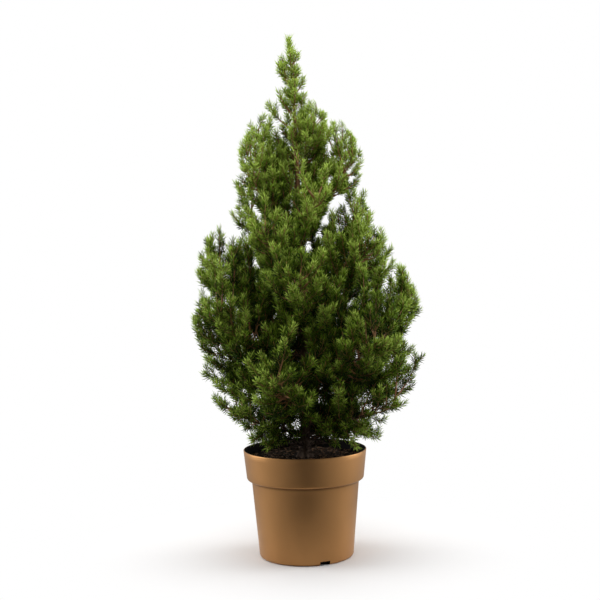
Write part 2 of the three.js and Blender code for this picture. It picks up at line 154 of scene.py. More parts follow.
# The crown's outline: its radius at each height, and the x of its middle there.
CROWN = np.array([
    [184, 100, 14],
    [211, 121, 16],
    [242, 150, 12],
    [273, 164, 9],
    [304, 172, 10],
    [365, 177, 9],
    [396, 172, 6],
    [457, 156, -3],
    [488, 142, -6],
    [520, 118, -4],
    [550, 101, -2],
    [611, 93, 1],
    [642, 88, 0],
    [672, 66, -6],
    [692, 36, -14],
    [711, 24, -13],
    [749, 21, -14],
    [780, 13, -13],
    [801, 9, -12],
], float)
CROWN_TOP = CROWN[-1, 0]
FOLIAGE_BOTTOM = 176

# The whorled boughs climb the trunk by the golden angle, and their tips lie near the crown's outline.
WHORLED_COUNT = 23
WHORLED_HEIGHTS = (176, 500)
TIP_HEIGHTS = (214, 588)
TIP_CURVE = 0.92
TIP_INSET = 15
TIP_SCATTER = 9
REACH_SCATTER = 5
FIRST_TURN = 1.05
TURN_SCATTER = 0.12
BOW = 0.15

# The shoulder boughs beside the leader: where each leaves the trunk, its tip's height and reach, and its
# turn from +X in degrees.
SHOULDERS = [
    (512, 620, 86, -14),
    (527, 634, 88, 192),
    (543, 652, 78, 12),
    (566, 660, 66, 163),
    (594, 693, 44, -22),
]

# A bough is a limb of this much of the way from the trunk to its tip, and the rest is its mass's stem.
BOUGH_SHARE = 0.3
BOUGH_RADIUS = 3.4
TOP_BOUGH_RADIUS = 2
SHOULDER_SHARE = 0.9
BOUGH_TAPER = 0.6
BOUGH_RELIEF = 0.16
BOUGH_BURIED = 0.5
BOUGH_RINGS = 26
BOUGH_SIDES = 12
STEM_TIP_RADIUS = 0.6
STEM_OVERLAP = 0.01
STEM_RINGS = 24
STEM_SIDES = 7

# Twigs leave a stem by the golden angle, and shoots leave a twig in the same way.
LEADER_FROM = 604
LEADER_TWIGS_FROM = 0.02
LEADER_TWIGS_TO = 0.84
LEADER_TWIG = 38
LEADER_END_SHARE = 0.72
LEADER_TWIG_PITCH = 8
LEADER_FINENESS = 3
TWIG_PITCH = 7.6
TWIG_STRIDE = 2
TWIG_FINENESS = 2
TWIG_SHARE = 0.5
TWIG_END_SHARE = 0.7
SHOULDER_TWIG_SHARE = 0.3
TWIG_TILTS = (1.2, 0.9)
TWIG_LIFTS = (0.1, 2.2)
LIFT_HEIGHT = 200
TWIG_LENGTHS = (0.82, 1.12)
TWIG_TURN_SCATTER = 0.3
TWIG_TILT_SCATTER = 0.12
TWIG_TRIES = (1, 0.85, 0.7, 0.58, 0.46, 0.36)
SHORTEST_TWIG = 14
TWIG_GIRTH = 0.027
TWIG_RADII = (0.7, 1.6)
TWIG_TIP_RADIUS = 0.5
TWIG_RINGS = 5
TWIG_SIDES = 4
SPRAY_RADIUS = 4
SPRAY_TAPER = 0.8
SPRAY_TESTS = (0.45, 0.7, 1)
SHOOT_PITCH = 7.4
SHOOT_FROM = 0.24
SHOOT_TO = 0.98
SHOOT_TURN_STEP = 1.7
SHOOT_TURN_SCATTER = 0.35
SHOOT_TILT = 0.7
SHOOT_LIFT = 1.6
SHOOT_SHARES = (0.32, 0.2)
SHOOT_VARIES = (0.8, 1.15)
SHOOT_RANGE = (9, 18)
SHOOT_TRIES = (1, 0.75)
SHORTEST_SHOOT = 7
SHOOT_RADIUS = 2
SHOOT_TESTS = (0.6, 1)
SHOOT_RADII = (0.5, 0.32)
SHOOT_RINGS = 3
SHOOT_SIDES = 3
CELL_MARGIN = 0.5

# The crown is thinner towards its top: this share of the shoots is missing above the second height, and none
# below the first.
THIN_FROM = 450
THIN_TO = 560
MOST_THINNED = 0.56

# Finer twigs and shoots may cross into a neighbour's space by this much, and end short of the outline or a
# little past it. Inner twigs stand on the boughs, where the solids are bare.
FINE_CROSSING = 54
FINE_LENGTHS = (0.35, 1.8)
SHOOT_CROSSING = 40
SHOOT_INSET = 3
SHOOT_SCATTER = 8
INNER_COUNT = 22
DENSE_INNER_COUNT = 40
LOW_COUNT = 7
INNER_PLACES = (0.06, 0.5)
INNER_TILT = (0.8, 1.4)
INNER_LENGTH = (28, 54)

# Where the picture shows sky through the crown, seen along Y: x, z and radius of each window.
SKY = [
    (43, 574, 5),
    (50, 542, 8),
    (38, 517, 9),
    (22, 493, 4),
    (11, 476, 6),
    (-64, 530, 5),
    (-78, 500, 7),
    (-70, 453, 7),
]

# Where the picture shows the trunk between the shoots: from and to which height, and the least and most half
# width of the slit.
TRUNK_SHOWS = (584, 688)
TRUNK_SLIT = (-2, 7)

# Needles stand round every shoot by the golden angle, and round the outer part of every twig and stem. Those
# round the top of the leader, whose curve goes through the peak heights, are longest and closest.
NEEDLE_PITCH = 0.58
FEWEST_NEEDLES = 3
NEEDLE_PLACES = (0.1, 0.9)
NEEDLE_LENGTH = 10.8
NEEDLE_LENGTHS = (0.82, 1.12)
NEEDLE_GROWTH = (0.9, 1.05)
SHORTEST_NEEDLE = 0.4
NEEDLE_WIDTH = 1.4
NEEDLE_WIDEST = 0.45
NEEDLE_KEEL = 0.6
NEEDLE_TURN_STEP = 2.1
NEEDLE_TURN_SCATTER = 0.3
NEEDLE_TILTS = (0.98, 0.5)
NEEDLE_TILT_SCATTER = 0.1
NEEDLE_LIFT = 0.12
NEEDLE_PROUD = 7
NEEDLE_SKY_MARGIN = (-12, 1)
NEEDLE_FACES = 4
NEEDLE_ROUGHNESS = 0.55
NEEDLE_SPECULAR = 0.09
SHOOT_NEEDLES_FROM = 0.06
TWIG_NEEDLES_FROM = 0.45
STEM_NEEDLES_SHARE = 0.2
STEM_NEEDLE_SIZE = 1.05
PEAK_HEIGHTS = (690, 738, TRUNK_TOP + 7)
PEAK_LENGTH = 96
PEAK_NEEDLE_PITCH = 0.3
PEAK_NEEDLE_SIZE = 1.3

# The tints of the needles, from the sunlit tips to the shaded inside: name and linear base colour.
TINTS = [
    ("fresh", (0.380, 0.520, 0.080)),
    ("bright", (0.215, 0.325, 0.028)),
    ("mid", (0.092, 0.168, 0.008)),
    ("olive", (0.076, 0.102, 0.005)),
    ("deep", (0.027, 0.062, 0.004)),
    ("shade", (0.011, 0.026, 0.002)),
]
PIECE_TRIANGLES = 198_000

# How light a spray is: more the further out and up its tip stands, most above the top's height, and with
# some chance for each twig and each spray. The quantiles share the tints out from the darkest on. A needle
# is a tint darker at the foot of its spray, and lighter near its end and once more at its tip.
LIT_DEPTH = 70
OUTER_LIGHT = (-0.5, 1.1)
HEIGHT_LIGHT = 1.5
LOWEST_HEIGHT = 0.2
TOP_LIGHT = 2.8
TOP_HEIGHT = 0.5
TWIG_CHANCE = 0.45
SPRAY_CHANCE = 0.6
SHOOT_LIGHT = (-0.65, 0.6)
TWIG_LIGHT = 0.25
STEM_LIGHT = 0.4
PEAK_LIGHT = 0.6
TINT_QUANTILES = (0.14, 0.38, 0.60, 0.80, 0.915)
SPRAY_FOOT = 0.3
SPRAY_END = 0.6
SPRAY_TIP = 0.86
DARKER_BELOW = 0.25
LIGHTER_ABOVE = 0.78

# The camera stands where the picture was taken from: its place in metres, its pitch and roll in degrees and
# its focal length in pixels of the 600-pixel frame.
PHOTO_SIZE = 600
SENSOR_WIDTH = 36
CAMERA_PLACE = (-0.00317, -1.8, 0.481)
CAMERA_PITCH = 2.71
CAMERA_ROLL = 1.09
CAMERA_FOCAL_PIXELS = 1171

# The plain stage, in metres. The floor has shade round the pot and fades to a white look away from it. In
# what the pot reflects, it is pale at both sides and dark in front, as a table between two lit walls is. The
# surround's light grows from the camera's side to the back: from and to which Y, and how strong.
WHITE = (1, 1, 1, 1)
FLOOR_SIZE = 60
FLOOR_COLOUR = (0.80, 0.785, 0.78)
SHADE_MIDDLE = (0, 0.04, 0)
SHADE_FADE = (0.11, 0.36)
SIDE_GLOW = 0.6
SIDE_GLOW_SPAN = (0.1, 0.4)
SURROUND_LIGHT = (-0.9, 0.9, 0.02, 0.5)

# The lights: name, place, what each faces, width and height, power, and whether the pot mirrors it.
LIGHTS = [
    ("left", (-1.7, 0.25, 0.75), (0, 0, 0.4), (1.1, 1.7), 26, True),
    ("right", (1.7, 0.25, 0.75), (0, 0, 0.4), (1.1, 1.7), 26, True),
    ("top", (0, 0.15, 2.2), (0, 0, 0.4), (2.0, 2.0), 40, True),
    ("front", (0, -1.2, 1.5), (0, 0, 0.65), (1.2, 1.2), 8, False),
]

# Seeded numbers, the same as those of the solids, and where each kind of choice starts them.
PRIME = 2147483647
FACTOR = 48271
SEED_STEP = 7919
PLUME_SEED = 900
TWIG_SEED = 1000
BETWEEN_SEED = 5000
INNER_SEED = 20000
LIMB_SEED_STEP = 100
SHOOT_SEED = 41
NEEDLE_SEED = 7
CRUMB_SEED = 23
LITTER_SEED = 31
DRY_TWIG_SEED = 57


class Draws:
    def __init__(self, seed):
        self.state = (seed * SEED_STEP + FACTOR) % PRIME
        self.next()
        self.next()

    def next(self):
        self.state = self.state * FACTOR % PRIME
        return self.state / PRIME

    def between(self, low, high):
        return low + (high - low) * self.next()

    def about_zero(self, spread):
        return self.between(-spread, spread)


def either_way(rng, most, count):
    return rng.uniform(-most, most, count)


def lerp(a, b, t):
    return a + (b - a) * t


def unit(v):
    return v / np.maximum(np.linalg.norm(v, axis=-1, keepdims=True), 1e-9)


def dot(a, b):
    return np.sum(a * b, axis=-1)


def crown_radius(z):
    return np.interp(z, CROWN[:, 0], CROWN[:, 1])


def crown_middle(z):
    return np.interp(z, CROWN[:, 0], CROWN[:, 2])


# How far points stand out past the crown's outline, which is negative inside it.
def past_outline(points):
    z = points[..., 2]
    return np.hypot(points[..., 0] - crown_middle(z), points[..., 1]) - crown_radius(z)


# Quadratic curves, as arrays of three control points each.
def point_on(curves, t):
    t = np.asarray(t)[..., None]
    a, b, c = curves[..., 0, :], curves[..., 1, :], curves[..., 2, :]
    return a * (1 - t) ** 2 + 2 * b * t * (1 - t) + c * t**2


def direction_on(curves, t):
    t = np.asarray(t)[..., None]
    a, b, c = curves[..., 0, :], curves[..., 1, :], curves[..., 2, :]
    return unit((b - a) * (1 - t) + (c - b) * t)


# The curve from a to c that passes b halfway.
def curve_through(a, b, c):
    return np.stack([a, 2 * b - (a + c) / 2, c], -2)


# The horizontal direction across a limb, from which the rings and needles round it are turned.
def across_of(direction):
    across = np.stack([-direction[..., 1], direction[..., 0], np.zeros(direction.shape[:-1])], -1)
    flat = np.linalg.norm(across, axis=-1, keepdims=True)
    return np.where(flat < 0.1, np.array([0.0, 1.0, 0.0]), across / np.maximum(flat, 1e-9))


def frame_of(direction, across):
    u = unit(np.cross(across, direction))
    return u, unit(np.cross(direction, u))


def trunk_centre(z):
    z = np.asarray(z, float)
    s = np.clip((z - TRUNK_FOOT) / (TRUNK_TOP - TRUNK_FOOT), 0, 1.05)
    sideways, forwards = (SWAY * np.sin(wave * np.pi * s) * (1 - s) for wave in SWAY_WAVES)
    return np.stack([LEAN * s**4 + sideways, forwards, z], -1)


def trunk_radius(z):
    s = (z - TRUNK_FOOT) / (TRUNK_TOP - TRUNK_FOOT)
    return lerp(TRUNK_RADIUS, TRUNK_TIP_RADIUS, s) + FLARE * np.exp((TRUNK_FOOT - z) / FLARE_HEIGHT)


# One plume for each bough: the curve that the bough and then its mass's stem follow.
def plume_curve(leaves, turn, reach, height):
    out = np.array([math.cos(turn), math.sin(turn), 0.0])
    start = trunk_centre(leaves)
    tip = np.array([crown_middle(height), 0, height]) + out * reach
    chord = tip - start
    low = out * chord[2] - UP * (chord @ out)
    return np.array([start, (start + tip) / 2 + low * BOW, tip])


def make_plumes():
    curves, radii = [], []
    for i in range(WHORLED_COUNT):
        share = i / (WHORLED_COUNT - 1)
        draws = Draws(PLUME_SEED + i)
        leaves = lerp(*WHORLED_HEIGHTS, share)
        turn = FIRST_TURN + i * GOLDEN + draws.about_zero(TURN_SCATTER)
        height = lerp(*TIP_HEIGHTS, share**TIP_CURVE) + draws.about_zero(TIP_SCATTER)
        reach = crown_radius(height) - TIP_INSET + draws.about_zero(REACH_SCATTER)
        curves.append(plume_curve(leaves, turn, reach, height))
        radii.append(lerp(BOUGH_RADIUS, TOP_BOUGH_RADIUS, share))
    for leaves, height, reach, degrees in SHOULDERS:
        curves.append(plume_curve(leaves, math.radians(degrees), reach, height))
        radii.append(TOP_BOUGH_RADIUS * SHOULDER_SHARE)
    return np.array(curves), np.array(radii)


plumes, plume_radii = make_plumes()
plume_lengths = np.linalg.norm(plumes[:, 2] - plumes[:, 0], axis=1)
LEADER = len(plumes)
leader_curve = curve_through(*map(trunk_centre, (LEADER_FROM, (LEADER_FROM + TRUNK_TOP) / 2, TRUNK_TOP)))
limbs = np.concatenate([plumes, leader_curve[None]])

# The middle line of each plume and of the leader, by which the masses share the crown out.
SPINE_STEPS = 12
spines = point_on(limbs[:, None], np.linspace(0, 1, SPINE_STEPS + 1)[None])


def spine_distances(points):
    found = np.empty((len(points), len(spines)))
    for k, spine in enumerate(spines):
        start, step = spine[:-1], np.diff(spine, axis=0)
        gap = points[:, None] - start
        t = np.clip(dot(gap, step) / dot(step, step), 0, 1)
        found[:, k] = np.linalg.norm(gap - t[..., None] * step, axis=-1).min(1)
    return found


def in_window(points, margin):
    hit = np.zeros(len(points), bool)
    for x, z, radius in SKY:
        hit |= np.hypot(points[:, 0] - x, points[:, 2] - z) < radius + margin
    return hit


# True where a ball lies in its mass's own space or no further past it than the crossing, clear of the trunk,
# within the crown's outline by the inset, and out of the sky windows.
def fits(own, points, radius, crossing, inset):
    z = points[:, 2]
    good = (z >= FOLIAGE_BOTTOM + radius) & (z <= CROWN_TOP) & (past_outline(points) <= -inset)
    off = np.linalg.norm(points - trunk_centre(z), axis=1)
    good &= (z >= TRUNK_TOP + radius) | (off >= trunk_radius(z) + radius + CELL_MARGIN)
    good &= ~in_window(points, radius)
    near = spine_distances(points)
    rows = np.arange(len(points))
    mine = near[rows, own]
    near[rows, own] = np.inf
    return good & ((near.min(1) - mine) / 2 > radius + CELL_MARGIN - crossing)


# Twigs lift more to the light the higher they stand, and those at the bottom spread out.
def twig_lift(z):
    return lerp(*TWIG_LIFTS, np.clip((z - FOLIAGE_BOTTOM) / LIFT_HEIGHT, 0, 1))


# Side limbs that leave a limb at a tilt from its direction and lift to the light.
def side_curves(base, direction, turn, tilt, length, lift):
    u, v = frame_of(direction, across_of(direction))
    aim = (
        direction * np.cos(tilt)[:, None]
        + u * (np.sin(tilt) * np.cos(turn))[:, None]
        + v * (np.sin(tilt) * np.sin(turn))[:, None]
    )
    bend = base + aim * (length / 2)[:, None]
    return np.stack([base, bend, bend + unit(aim + UP * lift[:, None]) * (length / 2)[:, None]], 1)


# Keeps each side limb at the first of its tries that fits, and drops those that never do.
def keep_fitting(own, base, direction, turn, tilt, full, lift, crossing, inset, tries, shortest, tests):
    curves = np.zeros((len(own), 3, 3))
    lengths = np.zeros(len(own))
    for share in tries:
        rows = np.flatnonzero(lengths == 0)
        length = full[rows] * share
        made = side_curves(base[rows], direction[rows], turn[rows], tilt[rows], length, lift[rows])
        good = length >= shortest
        for s, radius in tests:
            left = rows[good]
            good[good] = fits(own[left], point_on(made[good], s), radius, crossing[left], inset[left])
        curves[rows[good]] = made[good]
        lengths[rows[good]] = length[good]
    kept = lengths > 0
    return curves[kept], lengths[kept], kept


# Where the twigs of a limb start and end on it, the lengths of its first and last, how many the solids have
# and how many times as many stand here.
def twig_plan(own):
    if own == LEADER:
        count = (TRUNK_TOP - LEADER_FROM) * (LEADER_TWIGS_TO - LEADER_TWIGS_FROM) / LEADER_TWIG_PITCH
        last = LEADER_TWIG * LEADER_END_SHARE
        return LEADER_TWIGS_FROM, LEADER_TWIGS_TO, LEADER_TWIG, last, int(count), LEADER_FINENESS
    first = plume_lengths[own] * (TWIG_SHARE if own < WHORLED_COUNT else SHOULDER_TWIG_SHARE)
    count = plume_lengths[own] * (1 - BOUGH_SHARE) / TWIG_PITCH
    return BOUGH_SHARE, 1, first, first * TWIG_END_SHARE, int(count), TWIG_FINENESS


# How many inner twigs stand on a bough: most on the lowest and on the shoulder boughs, which hide the trunk.
def inner_count(own):
    if own == LEADER:
        return 0
    return INNER_COUNT if LOW_COUNT <= own < WHORLED_COUNT else DENSE_INNER_COUNT


def make_twigs():
    rows = []
    for own in range(LEADER + 1):
        start, end, first, last, count, fineness = twig_plan(own)
        for step in range(count * fineness):
            k = step / fineness
            between = step % fineness
            fine = between or (own < LEADER and k % TWIG_STRIDE)
            draws = Draws(TWIG_SEED + own * LIMB_SEED_STEP + int(k) + BETWEEN_SEED * between)
            u = (k + 0.5) / count
            turn = k * GOLDEN + own + draws.about_zero(TWIG_TURN_SCATTER)
            tilt = lerp(*TWIG_TILTS, u) + draws.about_zero(TWIG_TILT_SCATTER)
            full = lerp(first, last, u) * draws.between(*(FINE_LENGTHS if fine else TWIG_LENGTHS))
            rows.append((own, lerp(start, end, u), turn, tilt, full, FINE_CROSSING if fine else 0))
        inner = inner_count(own)
        for k in range(inner):
            draws = Draws(INNER_SEED + own * LIMB_SEED_STEP + k)
            t = lerp(*INNER_PLACES, (k + 0.5) / inner)
            tilt, full = draws.between(*INNER_TILT), draws.between(*INNER_LENGTH)
            rows.append((own, t, k * GOLDEN - own, tilt, full, SHOOT_CROSSING))
    own, t, turn, tilt, full, crossing = np.array(rows).T
    own = own.astype(int)
    base, direction = point_on(limbs[own], t), direction_on(limbs[own], t)
    tests = [(s, SPRAY_RADIUS * (1 - SPRAY_TAPER * s)) for s in SPRAY_TESTS]
    limits = (crossing, np.zeros(len(own)))
    lift = twig_lift(base[:, 2])
    growth = (own, base, direction, turn, tilt, full, lift)
    twigs, lengths, kept = keep_fitting(*growth, *limits, TWIG_TRIES, SHORTEST_TWIG, tests)
    return twigs, lengths, own[kept]


# For what stands on many curves by these counts: which curve each stands on, and which one of its row it is.
def parents_and_places(counts):
    parent = np.repeat(np.arange(len(counts)), counts)
    return parent, np.arange(len(parent)) - np.repeat(np.cumsum(counts) - counts, counts)


def make_shoots(twigs, lengths, owners):
    rng = np.random.default_rng(SHOOT_SEED)
    counts = np.floor(lengths * (1 - SHOOT_FROM) / SHOOT_PITCH).astype(int)
    parent, place = parents_and_places(counts)
    above = np.clip((twigs[parent, 2, 2] - THIN_FROM) / (THIN_TO - THIN_FROM), 0, 1)
    grown = rng.random(len(parent)) > above * MOST_THINNED
    parent, place = parent[grown], place[grown]
    t = lerp(SHOOT_FROM, SHOOT_TO, (place + 0.5) / counts[parent])
    scatter = either_way(rng, SHOOT_TURN_SCATTER, len(parent))
    turn = place * GOLDEN + parent * SHOOT_TURN_STEP + scatter
    tilt = SHOOT_TILT * rng.uniform(*SHOOT_VARIES, len(parent))
    full = np.clip(lengths[parent] * lerp(*SHOOT_SHARES, t), *SHOOT_RANGE)
    full *= rng.uniform(*SHOOT_VARIES, len(parent))
    base, direction = point_on(twigs[parent], t), direction_on(twigs[parent], t)
    tests = [(s, SHOOT_RADIUS) for s in SHOOT_TESTS]
    inset = SHOOT_INSET + either_way(rng, SHOOT_SCATTER, len(parent))
    limits = (np.full(len(parent), float(SHOOT_CROSSING)), inset)
    lift = np.full(len(parent), SHOOT_LIFT)
    growth = (owners[parent], base, direction, turn, tilt, full, lift)
    shoots, shoot_lengths, kept = keep_fitting(*growth, *limits, SHOOT_TRIES, SHORTEST_SHOOT, tests)
    return shoots, shoot_lengths, t[kept], parent[kept]


# Materials. Every number or colour that is the same all over is set on the shader's own socket.
def new_material(name, base=(0.5, 0.5, 0.5), roughness=0.5, metallic=0.0, specular=0.5):
    material = bpy.data.materials.new(name)
    material.use_nodes = True
    shader = material.node_tree.nodes["Principled BSDF"]
    sockets = ("Base Color", "Roughness", "Metallic", "Specular IOR Level")
    for socket, value in zip(sockets, ((*base, 1), roughness, metallic, specular)):
        shader.inputs[socket].default_value = value
    return material, shader


def plain_material(name, base, roughness, specular=0.5):
    return new_material(name, base, roughness, specular=specular)[0]


# A new node goes into the tree of the node or socket that it is put beside.
def add_node(beside, kind, **values):
    node = beside.id_data.nodes.new(kind)
    for key, value in values.items():
        if key in node.inputs:
            node.inputs[key].default_value = value
        else:
            setattr(node, key, value)
    return node


def link(output, socket):
    socket.id_data.links.new(output, socket)


# Noise over the object's own coordinates, which are metres: its scale is how fine it is in one metre.
def noise_node(shader, scale, detail, roughness, stretch=(1, 1, 1)):
    place = add_node(shader, "ShaderNodeTexCoord")
    turn = add_node(shader, "ShaderNodeMapping")
    turn.inputs["Scale"].default_value = stretch
    link(place.outputs["Object"], turn.inputs["Vector"])
    pattern = add_node(shader, "ShaderNodeTexNoise", Scale=scale, Detail=detail, Roughness=roughness)
    link(turn.outputs["Vector"], pattern.inputs["Vector"])
    return pattern.outputs["Fac"]


def colour_ramp(source, stops):
    ramp = add_node(source, "ShaderNodeValToRGB")
    elements = ramp.color_ramp.elements
    while len(elements) < len(stops):
        elements.new(0.5)
    for element, (place, colour) in zip(elements, stops):
        element.position = place
        element.color = (*colour, 1)
    link(source, ramp.inputs["Fac"])
    return ramp.outputs["Color"]


def value_ramp(source, low, high, to_low, to_high):
    span = add_node(source, "ShaderNodeMapRange")
    for socket, value in zip(("From Min", "From Max", "To Min", "To Max"), (low, high, to_low, to_high)):
        span.inputs[socket].default_value = value
    link(source, span.inputs["Value"])
    return span.outputs["Result"]


def add_bump(shader, height, strength, distance):
    bump = add_node(shader, "ShaderNodeBump", Strength=strength, Distance=distance)
    link(height, bump.inputs["Height"])
    link(bump.outputs["Normal"], shader.inputs["Normal"])


# One coordinate of the shaded point in metres of the object, or of the direction looked in.
def coordinate(beside, axis, kind="Object"):
    place = add_node(beside, "ShaderNodeTexCoord")
    split = add_node(beside, "ShaderNodeSeparateXYZ")
    link(place.outputs[kind], split.inputs["Vector"])
    return split.outputs[axis]


# The mix node takes colours at its inputs 6 and 7 and gives them mixed at its output 2.
def mix_colours(share, first, second, blend="MIX"):
    mix = add_node(first, "ShaderNodeMix", data_type="RGBA", blend_type=blend)
    if isinstance(share, (int, float)):
        mix.inputs["Factor"].default_value = share
    else:
        link(share, mix.inputs["Factor"])
    link(first, mix.inputs[6])
    link(second, mix.inputs[7])
    return mix.outputs[2]


def mix_shaders(share, first, second, surface):
    mix = add_node(surface, "ShaderNodeMixShader")
    for output, socket in zip((share, first, second), mix.inputs):
        link(output, socket)
    link(mix.outputs["Shader"], surface)


# Old bark is dark at the foot, and younger bark redder and lighter towards the top.
def bark_material():
    material, shader = new_material("bark", roughness=0.82, specular=0.3)
    flakes = noise_node(shader, scale=260, detail=6, roughness=0.62, stretch=(1, 1, 0.28))
    old = [(0.3, (0.022, 0.013, 0.009)), (0.5, (0.080, 0.050, 0.032)), (0.72, (0.16, 0.11, 0.075))]
    young = [(0.3, (0.065, 0.030, 0.014)), (0.5, (0.230, 0.110, 0.052)), (0.72, (0.42, 0.23, 0.12))]
    share = value_ramp(coordinate(shader, "Z"), *YOUNG_BARK, 0, 1)
    ages = [colour_ramp(flakes, stops) for stops in (old, young)]
    link(mix_colours(share, *ages), shader.inputs["Base Color"])
    add_bump(shader, flakes, strength=0.6, distance=0.0008)
    return material


# The pot's lacquer has painted shade: it is darker in the corner under its band, where the band's shade
# falls.
def pot_material():
    material, shader = new_material("pot_outside", metallic=0.9, specular=0.3)
    cloud = noise_node(shader, scale=14, detail=5, roughness=0.55)
    stops = [(0.3, (0.42, 0.215, 0.080)), (0.7, (0.46, 0.238, 0.090))]
    lacquer = colour_ramp(cloud, stops)
    ledge_shade_band = ((LEDGE - LEDGE_SHADE_HEIGHT) * MM, (LEDGE + LEDGE_SHADE_HEIGHT) * MM)
    level = value_ramp(coordinate(shader, "Z"), *ledge_shade_band, 0, 1)
    # The painted shade under the band: a dark stripe that the lacquer is multiplied by.
    corner = colour_ramp(level, [(0, (1, 1, 1)), (0.42, (0.3, 0.3, 0.3)), (0.62, (1, 1, 1))])
    link(mix_colours(1, lacquer, corner, "MULTIPLY"), shader.inputs["Base Color"])
    link(value_ramp(cloud, 0.3, 0.7, 0.38, 0.46), shader.inputs["Roughness"])
    grain = noise_node(shader, scale=900, detail=3, roughness=0.5)
    add_bump(shader, grain, strength=0.08, distance=0.0003)
    return material


# A dull material whose colour and relief follow the same grains.
def grainy_material(name, roughness, specular, noise_values, stops, bump_values):
    material, shader = new_material(name, roughness=roughness, specular=specular)
    grains = noise_node(shader, *noise_values)
    link(colour_ramp(grains, stops), shader.inputs["Base Color"])
    add_bump(shader, grains, *bump_values)
    return material


def pot_inside_material():
    stops = [(0.45, (0.004, 0.003, 0.003)), (0.75, (0.014, 0.011, 0.009))]
    return grainy_material("pot_inside", 0.75, 0.12, (60, 5, 0.6), stops, (0.15, 0.0005))


def soil_material(name, dark, light):
    stops = [(0.35, dark), (0.68, light)]
    return grainy_material(name, 0.95, 0.2, (420, 8, 0.7), stops, (0.8, 0.0012))


# A mesh object in metres, from points in millimetres and groups of faces with as many corners as columns.
def mesh_piece(name, points, groups, materials, smooth=True):
    mesh = bpy.data.meshes.new(name)
    corners = np.concatenate([group.ravel() for group in groups])
    sizes = np.concatenate([np.full(len(group), group.shape[1]) for group in groups])
    mesh.vertices.add(len(points))
    mesh.vertices.foreach_set("co", (points * MM).astype(np.float32).ravel())
    mesh.loops.add(len(corners))
    mesh.loops.foreach_set("vertex_index", corners.astype(np.int32))
    mesh.polygons.add(len(sizes))
    mesh.polygons.foreach_set("loop_start", (np.cumsum(sizes) - sizes).astype(np.int32))
    mesh.polygons.foreach_set("use_smooth", np.full(len(sizes), smooth))
    mesh.update(calc_edges=True)
    for material in materials:
        mesh.materials.append(material)
    piece = bpy.data.objects.new(name, mesh)
    bpy.context.scene.collection.objects.link(piece)
    return piece


def seat(piece, nodes=()):
    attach(piece, "root")
    if nodes:
        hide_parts(*nodes)


# The faces of many lofts: rings of corners in order along each, closed by a flat cap at both ends.
def loft_faces(count, rings, sides):
    ring, side = np.meshgrid(np.arange(rings - 1), np.arange(sides), indexing="ij")
    a = ring * sides + side
    b = ring * sides + (side + 1) % sides
    walls = np.stack([a, b, b + sides, a + sides], -1).reshape(-1, 4)
    caps = np.stack([np.arange(sides)[::-1], (rings - 1) * sides + np.arange(sides)])
    first = (np.arange(count) * rings * sides)[:, None, None]
    return [(walls + first).reshape(-1, 4), (caps + first).reshape(-1, sides)]


# Rings of points round many curves, of shape (curve, ring, side, axis).
def rings_round(centres, directions, radii, sides):
    middle = directions[:, directions.shape[1] // 2]
    u, v = frame_of(directions, np.repeat(across_of(middle)[:, None], directions.shape[1], 1))
    angle = np.arange(sides) * 2 * np.pi / sides
    aim = u[..., None, :] * np.cos(angle)[:, None] + v[..., None, :] * np.sin(angle)[:, None]
    return centres[..., None, :] + aim * (radii[..., None, None] if radii.ndim == 2 else radii[..., None])


# One piece of tapering tubes, each from the start's share of its curve to the curve's end.
def tube_piece(name, curves, start, foot_radius, tip_radius, rings, sides, material):
    shares = np.linspace(0, 1, rings)
    t = np.broadcast_to(lerp(start, 1, shares), (len(curves), rings))
    radii = lerp(np.asarray(foot_radius)[..., None], tip_radius, shares) * np.ones((len(curves), 1))
    centres, directions = point_on(curves[:, None], t), direction_on(curves[:, None], t)
    points = rings_round(centres, directions, radii, sides).reshape(-1, 3)
    return mesh_piece(name, points, loft_faces(len(curves), rings, sides), [material])


def noise_at(x, y, z, across, along, level=0):
    return noise.noise(Vector((x * across, y * across, z * along + level)))


# The relief of the bark at each point, about 0 on the whole: long plates with finer scales on them.
def bark_relief(points):
    found = np.empty(len(points))
    for i, point in enumerate(points):
        plate = 1 - 2 * abs(noise_at(*point, *PLATES))
        scale = noise_at(*point, *SCALES, SCALE_LEVEL)
        found[i] = PLATE_SHARE * plate + SCALE_SHARE * scale - RELIEF_MEAN
    return found


def make_trunk(material):
    rings = int((TRUNK_TOP - TRUNK_FOOT) / BARK_RING_STEP)
    z = TRUNK_FOOT + (TRUNK_TOP - TRUNK_FOOT) * np.linspace(0, 1, rings) ** RING_CURVE
    centres = trunk_centre(z)[None]
    directions = np.broadcast_to(UP, centres.shape)
    angle = np.arange(BARK_SIDES) * 2 * np.pi / BARK_SIDES
    flare = ROOT_SWELL * np.exp((TRUNK_FOOT - z) / FLARE_HEIGHT)
    radii = trunk_radius(z)[:, None] * (1 + flare[:, None] * np.cos(angle * ROOTS))
    points = rings_round(centres, directions, radii[None], BARK_SIDES).reshape(-1, 3)
    axis = trunk_centre(points[:, 2])
    out = unit(points - axis)
    size = np.linalg.norm(points - axis, axis=1)
    relief = BARK_RELIEF * np.clip(size / TRUNK_RADIUS, *RELIEF_SHARES) * bark_relief(points)
    for curve, radius in zip(plumes, plume_radii):
        exit_point = curve[0] + direction_on(curve, 0.0) * trunk_radius(curve[0, 2])
        near = np.linalg.norm(points - exit_point, axis=1)
        relief += COLLAR * radius * np.exp(-((near / (COLLAR_SPREAD * radius)) ** 2))
    points = points + out * relief[:, None]
    points[:BARK_SIDES, 2] = TRUNK_FOOT - 1
    return mesh_piece("trunk_bark", points, loft_faces(1, rings, BARK_SIDES), [material])


